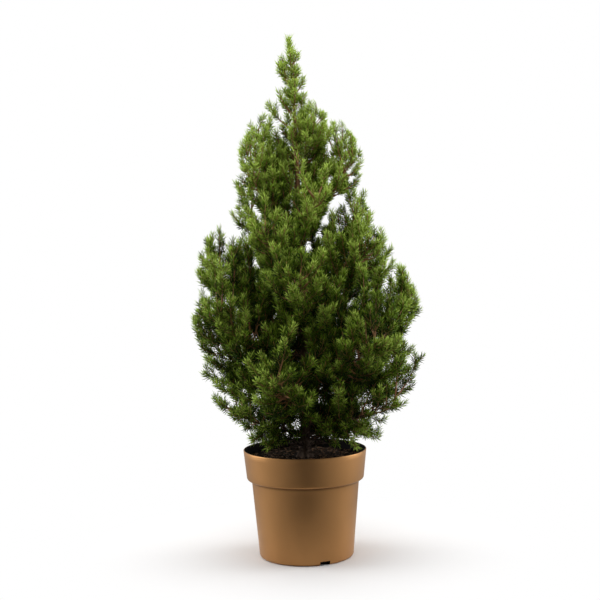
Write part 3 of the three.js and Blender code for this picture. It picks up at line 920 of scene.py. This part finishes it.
def make_bough(own, material):
    start = BOUGH_BURIED * trunk_radius(plumes[own, 0, 2]) / plume_lengths[own]
    t = np.linspace(start, BOUGH_SHARE, BOUGH_RINGS)
    share = np.linspace(0, 1, BOUGH_RINGS)
    radii = plume_radii[own] * (lerp(1, BOUGH_TAPER, share) + COLLAR * np.exp(-share * COLLAR_FALL))
    centres, directions = point_on(plumes[own], t)[None], direction_on(plumes[own], t)[None]
    points = rings_round(centres, directions, radii[None], BOUGH_SIDES).reshape(-1, 3)
    relief = BOUGH_RELIEF * np.repeat(radii, BOUGH_SIDES) * bark_relief(points)
    points = points + unit(points - np.repeat(centres[0], BOUGH_SIDES, 0)) * relief[:, None]
    faces = loft_faces(1, BOUGH_RINGS, BOUGH_SIDES)
    return mesh_piece(f"bough_bark_{own + 1}", points, faces, [material])


def make_stems(material):
    start, radii = BOUGH_SHARE - STEM_OVERLAP, plume_radii * BOUGH_TAPER
    return tube_piece("stems", plumes, start, radii, STEM_TIP_RADIUS, STEM_RINGS, STEM_SIDES, material)


def make_wood(twigs, twig_lengths, shoots):
    girth = np.clip(twig_lengths * TWIG_GIRTH, *TWIG_RADII)
    red_brown = plain_material("young_bark", (0.31, 0.145, 0.055), roughness=0.6)
    tan = plain_material("shoot_bark", (0.38, 0.22, 0.07), roughness=0.6)
    return [
        tube_piece("twigs", twigs, 0, girth, TWIG_TIP_RADIUS, TWIG_RINGS, TWIG_SIDES, red_brown),
        tube_piece("shoots", shoots, 0, *SHOOT_RADII, SHOOT_RINGS, SHOOT_SIDES, tan),
    ]


# The needles round the outer part of each curve: where each stands and aims, its length, how far along that
# part it is, and the curve that it stands on.
def needles_on(curves, lengths, start, pitch, size, rng):
    counts = np.maximum(np.round(lengths * (1 - start) / pitch).astype(int), FEWEST_NEEDLES)
    parent, place = parents_and_places(counts)
    share = (place + rng.uniform(*NEEDLE_PLACES, len(parent))) / counts[parent]
    t = lerp(start, 1, share)
    base, direction = point_on(curves[parent], t), direction_on(curves[parent], t)
    u, v = frame_of(direction, across_of(direction))
    scatter = either_way(rng, NEEDLE_TURN_SCATTER, len(parent))
    turn = place * GOLDEN + parent * NEEDLE_TURN_STEP + scatter
    tilt = lerp(*NEEDLE_TILTS, share**2) + rng.normal(0, NEEDLE_TILT_SCATTER, len(parent))
    out = u * np.cos(turn)[:, None] + v * np.sin(turn)[:, None]
    aim = direction * np.cos(tilt)[:, None] + out * np.sin(tilt)[:, None]
    aim = unit(aim + UP * NEEDLE_LIFT)
    length = size * NEEDLE_LENGTH * rng.uniform(*NEEDLE_LENGTHS, len(parent)) * lerp(*NEEDLE_GROWTH, share)
    return base, aim, length, share, parent


# True for points before the stretch of trunk that the picture shows between the shoots.
def before_trunk(points, half_width):
    z = points[:, 2]
    middle = trunk_centre(z)
    beside = np.abs(points[:, 0] - middle[:, 0]) < half_width
    return beside & (points[:, 1] < middle[:, 1]) & (z > TRUNK_SHOWS[0]) & (z < TRUNK_SHOWS[1])


# Needles end a little past the outline, and thin out towards the middle of each sky window and before the
# stretch of trunk that shows.
def trim_needles(base, aim, length, rng):
    tip = base + aim * length[:, None]
    proud = past_outline(tip) - NEEDLE_PROUD
    length = np.where(proud > 0, np.maximum(length - proud, 0), length)
    open_to_see = in_window(tip, rng.uniform(*NEEDLE_SKY_MARGIN, len(tip)))
    half_width = rng.uniform(*TRUNK_SLIT, len(tip))
    for points in (base, base + aim * (length / 2)[:, None], tip):
        open_to_see |= before_trunk(points, half_width)
    return length, (length > NEEDLE_LENGTH * SHORTEST_NEEDLE) & ~open_to_see


# Each needle is a closed spindle of four faces: its two ends, and two corners at its widest place that stand
# off to one side of the line between the ends.
def needle_mesh(name, base, aim, length, turn, material):
    u, v = frame_of(aim, across_of(aim))
    side = u * np.cos(turn)[:, None] + v * np.sin(turn)[:, None]
    back = np.cross(aim, side)
    middle = base + aim * (length * NEEDLE_WIDEST)[:, None] + back * (NEEDLE_WIDTH * NEEDLE_KEEL)
    half = side * (NEEDLE_WIDTH / 2)
    points = np.stack([base, base + aim * length[:, None], middle - half, middle + half], 1)
    corners = np.array([(0, 2, 3), (1, 3, 2), (0, 1, 2), (0, 3, 1)])
    faces = (corners + (np.arange(len(base)) * 4)[:, None, None]).reshape(-1, 3)
    return mesh_piece(name, points.reshape(-1, 3), [faces], [material])


# The sprays, in sets: their curves and lengths, from where the needles stand, their pitch and size, and the
# light that each spray has to begin with.
def spray_sets(twigs, twig_lengths, shoots, shoot_lengths, shoot_places, shoot_twigs, rng):
    vigour = rng.normal(0, TWIG_CHANCE, len(twigs))
    shoot_light = lerp(*SHOOT_LIGHT, shoot_places) + vigour[shoot_twigs]
    halfway = point_on(plumes, 1 - STEM_NEEDLES_SHARE / 2)
    ends = curve_through(point_on(plumes, 1 - STEM_NEEDLES_SHARE), halfway, plumes[:, 2])
    end_lengths = plume_lengths * STEM_NEEDLES_SHARE
    peak = curve_through(*trunk_centre(np.array(PEAK_HEIGHTS)))[None]
    return [
        (shoots, shoot_lengths, SHOOT_NEEDLES_FROM, NEEDLE_PITCH, 1, shoot_light),
        (twigs, twig_lengths, TWIG_NEEDLES_FROM, NEEDLE_PITCH, 1, TWIG_LIGHT + vigour),
        (ends, end_lengths, 0, NEEDLE_PITCH, STEM_NEEDLE_SIZE, STEM_LIGHT),
        (peak, np.array([PEAK_LENGTH]), 0, PEAK_NEEDLE_PITCH, PEAK_NEEDLE_SIZE, PEAK_LIGHT),
    ]


# The number of the tint that each spray has, by the light on it.
def spray_tints(spray_tips, light, rng):
    outer = np.clip(1 + past_outline(spray_tips) / LIT_DEPTH, *OUTER_LIGHT)
    height = (spray_tips[:, 2] - FOLIAGE_BOTTOM) / (CROWN_TOP - FOLIAGE_BOTTOM)
    low = HEIGHT_LIGHT * np.maximum(height, LOWEST_HEIGHT)
    top = TOP_LIGHT * np.maximum(height - TOP_HEIGHT, 0)
    light = outer + low + top + light
    light += rng.normal(0, SPRAY_CHANCE, len(light))
    return len(TINTS) - 1 - np.searchsorted(np.quantile(light, TINT_QUANTILES), light)


def make_needles(*wood):
    rng = np.random.default_rng(NEEDLE_SEED)
    parts = []
    sprays = 0
    for curves, lengths, start, pitch, size, light in spray_sets(*wood, rng):
        *needles, parent = needles_on(curves, lengths, start, pitch, size, rng)
        lights = np.broadcast_to(light, len(curves))
        parts.append((*needles, parent + sprays, point_on(curves, 1.0), lights))
        sprays += len(curves)
    base, aim, length, share, spray, spray_tips, lights = map(np.concatenate, zip(*parts))
    length, kept = trim_needles(base, aim, length, rng)
    turn = rng.uniform(0, 2 * np.pi, len(base))
    tint = spray_tints(spray_tips, lights, rng)[spray]
    tint = tint + (share < SPRAY_FOOT) - (share > SPRAY_END) - (share > SPRAY_TIP)
    chance = rng.random(len(base))
    tint = tint + (chance < DARKER_BELOW) - (chance > LIGHTER_ABOVE)
    tint = np.clip(tint, 0, len(TINTS) - 1)
    made = []
    for number, (name, colour) in enumerate(TINTS):
        label = "needles_" + name
        material = plain_material(label, colour, NEEDLE_ROUGHNESS, NEEDLE_SPECULAR)
        rows = np.flatnonzero(kept & (tint == number))
        pieces = max(1, math.ceil(len(rows) * NEEDLE_FACES / PIECE_TRIANGLES))
        for part, chosen in enumerate(np.array_split(rows, pieces)):
            part_label = label + (f"_{part + 1}" if pieces > 1 else "")
            looks = (base[chosen], aim[chosen], length[chosen], turn[chosen], material)
            made.append(needle_mesh(part_label, *looks))
    return made


# An arc of a profile round a centre, from one angle to another in degrees.
def arc(x, z, radius, start, end, steps):
    angles = np.radians(np.linspace(start, end, steps))
    return [(x + radius * math.cos(a), z + radius * math.sin(a)) for a in angles]


def stretch(a, b, steps):
    return [(lerp(a[0], b[0], i / steps), lerp(a[1], b[1], i / steps)) for i in range(1, steps)]


# From the middle of the underside up the outside, over the lip and down the inside to the floor's middle.
def pot_profile():
    lip = POT_HEIGHT - WALL / 2
    band_foot = LEDGE + BAND_ROUNDING
    corner = LEDGE - LEDGE_ROUNDING
    floor_corner = FLOOR + FLOOR_ROUNDING
    outside = [(radius, 0) for radius in (AXIS_GAP, *FLAT_RINGS)]
    outside += arc(BASE_RADIUS - BASE_ROUNDING, BASE_ROUNDING, BASE_ROUNDING, -90, -4, MANY_STEPS)
    outside += stretch((BASE_RADIUS, BASE_ROUNDING), (BODY_TOP_RADIUS, corner), MANY_STEPS)
    outside += arc(BODY_TOP_RADIUS + LEDGE_ROUNDING, corner, LEDGE_ROUNDING, 180, 90, FEW_STEPS)
    outside += arc(BAND_FOOT_RADIUS - BAND_ROUNDING, band_foot, BAND_ROUNDING, -90, -5, MANY_STEPS)
    outside += stretch((BAND_FOOT_RADIUS, band_foot), (RIM_RADIUS, lip), SOME_STEPS)
    outside += arc(RIM_RADIUS - WALL / 2, lip, WALL / 2, 0, 180, MANY_STEPS)
    inside = stretch((RIM_RADIUS - WALL, lip), (BAND_FOOT_RADIUS - WALL, band_foot), SOME_STEPS)
    inside += [(BAND_FOOT_RADIUS - WALL, band_foot), (BODY_TOP_RADIUS - WALL, LEDGE - WALL)]
    inside += stretch((BODY_TOP_RADIUS - WALL, LEDGE - WALL), (BASE_RADIUS - WALL, floor_corner), SOME_STEPS)
    inside += arc(BASE_RADIUS - WALL - FLOOR_ROUNDING, floor_corner, FLOOR_ROUNDING, 0, -90, FEW_STEPS)
    return np.array(outside + inside + [(FLAT_RINGS[0], FLOOR), (AXIS_GAP, FLOOR)])


def lathe(profile, segments):
    angle = np.arange(segments) * 2 * np.pi / segments
    radius, z = profile[:, 0][:, None], profile[:, 1][:, None]
    points = np.stack([radius * np.cos(angle), radius * np.sin(angle), z + 0 * angle], -1)
    return points.reshape(-1, 3), loft_faces(1, len(profile), segments)


def cut_slots(piece):
    for i in range(SLOT_COUNT):
        turn = math.radians(FIRST_SLOT_DEGREES + 360 * i / SLOT_COUNT)
        bpy.ops.mesh.primitive_cube_add(size=1)
        cutter = bpy.context.object
        cutter.scale = (2 * SLOT_DEPTH * MM, SLOT_WIDTH * MM, 2 * SLOT_HEIGHT * MM)
        cutter.rotation_euler = (0, 0, turn)
        cutter.location = (BASE_RADIUS * MM * math.cos(turn), BASE_RADIUS * MM * math.sin(turn), 0)
        rounding = cutter.modifiers.new("rounding", "BEVEL")
        rounding.width = SLOT_ROUNDING * MM
        rounding.segments = SLOT_ROUNDING_STEPS
        cut = piece.modifiers.new("slot", "BOOLEAN")
        cut.operation = "DIFFERENCE"
        cut.solver = "EXACT"
        cut.object = cutter
        bpy.context.view_layer.update()
        solid = bpy.data.meshes.new_from_object(piece.evaluated_get(bpy.context.evaluated_depsgraph_get()))
        piece.modifiers.clear()
        piece.data = solid
        bpy.data.objects.remove(cutter)


def outer_radius(z):
    heights = [0, BASE_ROUNDING, LEDGE - LEDGE_ROUNDING / 2, LEDGE + BAND_ROUNDING, POT_HEIGHT]
    radii = [BASE_RADIUS - BASE_ROUNDING, BASE_RADIUS, BODY_TOP_RADIUS, BAND_FOOT_RADIUS, RIM_RADIUS]
    return np.interp(z, heights, radii)


# Faces further in than over half of the wall, but not the underside's, have the material of the inside.
def make_pot():
    points, groups = lathe(pot_profile(), POT_SEGMENTS)
    piece = mesh_piece("pot_shell", points, groups, [pot_material(), pot_inside_material()])
    cut_slots(piece)
    mesh = piece.data
    centres = np.empty(len(mesh.polygons) * 3, np.float32)
    mesh.polygons.foreach_get("center", centres)
    centres = centres.reshape(-1, 3) / MM
    radius = np.hypot(centres[:, 0], centres[:, 1])
    inner = (radius < outer_radius(centres[:, 2]) - WALL * INSIDE_FROM) & (centres[:, 2] > UNDERSIDE_TOP)
    mesh.polygons.foreach_set("material_index", inner.astype(np.int32))
    mesh.shade_smooth()
    mesh.set_sharp_from_angle(angle=math.radians(CREASE_DEGREES))
    return piece


def soil_height(x, y):
    relief = sum(share * noise_at(x, y, 0, fineness, 0, level) for fineness, level, share in SOIL_WAVES)
    return SOIL_TOP + SOIL_RELIEF * relief


# The profile runs from the middle of the bottom up the side, with room to the pot, and in across the top.
def make_soil(material):
    bottom = FLOOR + SOIL_CLEARANCE
    foot = BASE_RADIUS - WALL - SOIL_SIDE_GAP
    body_top = BODY_TOP_RADIUS - WALL - SOIL_SIDE_GAP
    edge = RIM_RADIUS - WALL - SOIL_CLEARANCE - SOIL_TAPER
    inwards, down = SOIL_SHOULDER
    profile = [(SOIL_SIDE_GAP, bottom), (foot - SOIL_CORNER, bottom), (foot, FLOOR + 2 * SOIL_CORNER)]
    profile += [(body_top, LEDGE - WALL - SOIL_CORNER), (edge - inwards, SOIL_TOP - down)]
    top = [(edge * (1 - i / SOIL_RINGS), SOIL_TOP) for i in range(SOIL_RINGS)]
    points, groups = lathe(np.array(profile + top), SOIL_SEGMENTS)
    for point in points[len(profile) * SOIL_SEGMENTS:]:
        point[2] = soil_height(point[0], point[1])
    return mesh_piece("compost", points, groups, [material])


# Places strewn evenly over the compost, from a ring round its middle outwards, and its height at each.
def strewn(rng, count, spread, ring=0):
    radius = ring + spread * np.sqrt(rng.random(count))
    angle = rng.uniform(0, 2 * np.pi, count)
    x, y = radius * np.cos(angle), radius * np.sin(angle)
    return np.stack([x, y, [soil_height(*place) for place in zip(x, y)]], 1)


# Points turned from one axis towards another, by an angle for each group of them.
def turned(points, angle, first, second):
    made = points.copy()
    c, s = np.cos(angle)[:, None], np.sin(angle)[:, None]
    made[..., first] = points[..., first] * c - points[..., second] * s
    made[..., second] = points[..., first] * s + points[..., second] * c
    return made


# Each crumb is a rough icosahedron, stretched, tipped and turned.
def make_crumbs(material):
    rng = np.random.default_rng(CRUMB_SEED)
    phi = (1 + math.sqrt(5)) / 2
    ico = unit(np.array([np.roll((a, b, 0), k) for k in range(3) for b in (phi, -phi) for a in (-1, 1)]))
    corners = np.array([
        (0, 11, 5), (0, 5, 1), (0, 1, 7), (0, 7, 10), (0, 10, 11), (1, 5, 9), (5, 11, 4), (11, 10, 2),
        (10, 7, 6), (7, 1, 8), (3, 9, 4), (3, 4, 2), (3, 2, 6), (3, 6, 8), (3, 8, 9), (4, 9, 5), (2, 4, 11),
        (6, 2, 10), (8, 6, 7), (9, 8, 1),
    ])
    places = strewn(rng, CRUMB_COUNT, CRUMB_SPREAD)
    smallest, largest = CRUMB_SIZES
    size = np.minimum(rng.gamma(*CRUMB_GROWTH, CRUMB_COUNT) + smallest, largest)
    stretch_by = np.stack([rng.uniform(*span, CRUMB_COUNT) for span in CRUMB_STRETCH], 1)
    lumps = ico[None] * rng.uniform(*CRUMB_LUMPS, (CRUMB_COUNT, len(ico)))[..., None]
    lumps = lumps * stretch_by[:, None] * size[:, None, None]
    spin = rng.uniform(0, 2 * np.pi, CRUMB_COUNT)
    lean = either_way(rng, CRUMB_LEAN, CRUMB_COUNT)
    places[:, 2] += size * CRUMB_LIFT
    points = turned(turned(lumps, lean, 0, 2), spin, 0, 1) + places[:, None]
    faces = (corners + (np.arange(CRUMB_COUNT) * len(ico))[:, None, None]).reshape(-1, 3)
    return mesh_piece("crumbs", points.reshape(-1, 3), [faces], [material], smooth=False)


def make_litter():
    rng = np.random.default_rng(LITTER_SEED)
    places = strewn(rng, LITTER_COUNT, LITTER_SPREAD, LITTER_FROM)
    places[:, 2] += rng.uniform(*LITTER_LIFT, LITTER_COUNT)
    spin = rng.uniform(0, 2 * np.pi, LITTER_COUNT)
    aim = unit(np.stack([np.cos(spin), np.sin(spin), rng.uniform(*LITTER_SLOPE, LITTER_COUNT)], 1))
    length = rng.uniform(*LITTER_LENGTHS, LITTER_COUNT)
    material = plain_material("dry_needles", (0.19, 0.098, 0.042), roughness=0.7)
    return needle_mesh("fallen_needles", places, aim, length, spin, material)


# Bare dead twigs round the foot of the trunk, by the golden angle.
def make_dry_twigs(material):
    rng = np.random.default_rng(DRY_TWIG_SEED)
    scatter = either_way(rng, DRY_TWIG_TURN_SCATTER, DRY_TWIG_COUNT)
    turn = np.arange(DRY_TWIG_COUNT) * GOLDEN + scatter
    z = rng.uniform(*DRY_TWIG_HEIGHTS, DRY_TWIG_COUNT)
    out = np.stack([np.cos(turn), np.sin(turn), np.zeros(DRY_TWIG_COUNT)], 1)
    base = trunk_centre(z) + out * DRY_TWIG_FROM
    reach = rng.uniform(*DRY_TWIG_REACH, DRY_TWIG_COUNT)
    rise = rng.uniform(*DRY_TWIG_RISE, DRY_TWIG_COUNT)
    tip = base + out * reach[:, None] + UP * rise[:, None]
    bend = (base + tip) / 2 + UP * rng.uniform(*DRY_TWIG_ARCH, DRY_TWIG_COUNT)[:, None]
    bend += np.cross(out, UP) * either_way(rng, DRY_TWIG_SWAY, DRY_TWIG_COUNT)[:, None]
    curves = np.stack([base, bend, tip], 1)
    return tube_piece("dry_twigs", curves, 0, *DRY_TWIG_RADII, DRY_TWIG_RINGS, DRY_TWIG_SIDES, material)


def make_floor():
    material, shader = new_material("floor", FLOOR_COLOUR, roughness=0.7, specular=0.2)
    place = add_node(shader, "ShaderNodeTexCoord")
    distance = add_node(shader, "ShaderNodeVectorMath", operation="DISTANCE")
    distance.inputs[1].default_value = SHADE_MIDDLE
    link(place.outputs["Object"], distance.inputs[0])
    fade = value_ramp(distance.outputs["Value"], *SHADE_FADE, 0, 1)
    sideways = add_node(shader, "ShaderNodeMath", operation="ABSOLUTE")
    link(coordinate(shader, "X"), sideways.inputs[0])
    side_glow = value_ramp(sideways.outputs["Value"], *SIDE_GLOW_SPAN, 0, SIDE_GLOW)
    path = add_node(shader, "ShaderNodeLightPath")
    strength = add_node(shader, "ShaderNodeMath", operation="MAXIMUM")
    link(path.outputs["Is Camera Ray"], strength.inputs[0])
    link(side_glow, strength.inputs[1])
    glow = add_node(shader, "ShaderNodeEmission")
    link(strength.outputs["Value"], glow.inputs["Strength"])
    surface = material.node_tree.nodes["Material Output"].inputs["Surface"]
    mix_shaders(fade, shader.outputs["BSDF"], glow.outputs["Emission"], surface)
    bpy.ops.mesh.primitive_plane_add(size=FLOOR_SIZE)
    floor = bpy.context.object
    floor.name = "floor"
    floor.data.materials.append(material)


def add_light(name, place, target, size, power, mirrored):
    data = bpy.data.lights.new(name, "AREA")
    data.shape = "RECTANGLE"
    data.size, data.size_y = size
    data.energy = power
    light = bpy.data.objects.new(name, data)
    light.location = place
    light.rotation_euler = (Vector(target) - Vector(place)).to_track_quat("-Z", "Y").to_euler()
    light.visible_camera = False
    light.visible_glossy = mirrored
    bpy.context.scene.collection.objects.link(light)


def make_world():
    world = bpy.data.worlds.new("studio")
    bpy.context.scene.world = world
    world.use_nodes = True
    nodes = world.node_tree.nodes
    surround = nodes["Background"]
    surround.inputs["Color"].default_value = WHITE
    direction = coordinate(surround, "Y", "Generated")
    link(value_ramp(direction, *SURROUND_LIGHT), surround.inputs["Strength"])
    seen = add_node(surround, "ShaderNodeBackground", Color=WHITE, Strength=1)
    to_camera = add_node(surround, "ShaderNodeLightPath").outputs["Is Camera Ray"]
    backgrounds = [node.outputs["Background"] for node in (surround, seen)]
    mix_shaders(to_camera, *backgrounds, nodes["World Output"].inputs["Surface"])


def make_camera():
    data = bpy.data.cameras.new("camera")
    data.sensor_width = SENSOR_WIDTH
    data.lens = SENSOR_WIDTH * CAMERA_FOCAL_PIXELS / PHOTO_SIZE
    camera = bpy.data.objects.new("camera", data)
    pitch = Matrix.Rotation(math.radians(90 - CAMERA_PITCH), 4, "X")
    roll = Matrix.Rotation(math.radians(-CAMERA_ROLL), 4, "Z")
    camera.matrix_world = Matrix.Translation(CAMERA_PLACE) @ pitch @ roll
    bpy.context.scene.collection.objects.link(camera)
    bpy.context.scene.camera = camera


def main():
    twigs, twig_lengths, owners = make_twigs()
    shoots, shoot_lengths, shoot_places, shoot_twigs = make_shoots(twigs, twig_lengths, owners)
    foliage = [f"foliage_{own + 1}" for own in range(LEADER)] + ["foliage_leader"]
    bark = bark_material()
    seat(make_trunk(bark), ["trunk"])
    for own in range(LEADER):
        seat(make_bough(own, bark), [f"bough_{own + 1}"])
    seat(make_stems(bark), foliage)
    for piece in make_wood(twigs, twig_lengths, shoots):
        seat(piece, foliage)
    for piece in make_needles(twigs, twig_lengths, shoots, shoot_lengths, shoot_places, shoot_twigs):
        seat(piece, foliage)
    seat(make_pot(), ["pot"])
    seat(make_soil(soil_material("compost", *COMPOST_COLOURS)), ["soil"])
    seat(make_crumbs(soil_material("crumbs", *CRUMB_COLOURS)))
    seat(make_litter())
    seat(make_dry_twigs(bark))
    make_floor()
    for light in LIGHTS:
        add_light(*light)
    make_world()
    make_camera()
    bpy.context.scene.view_settings.view_transform = "Standard"


main()
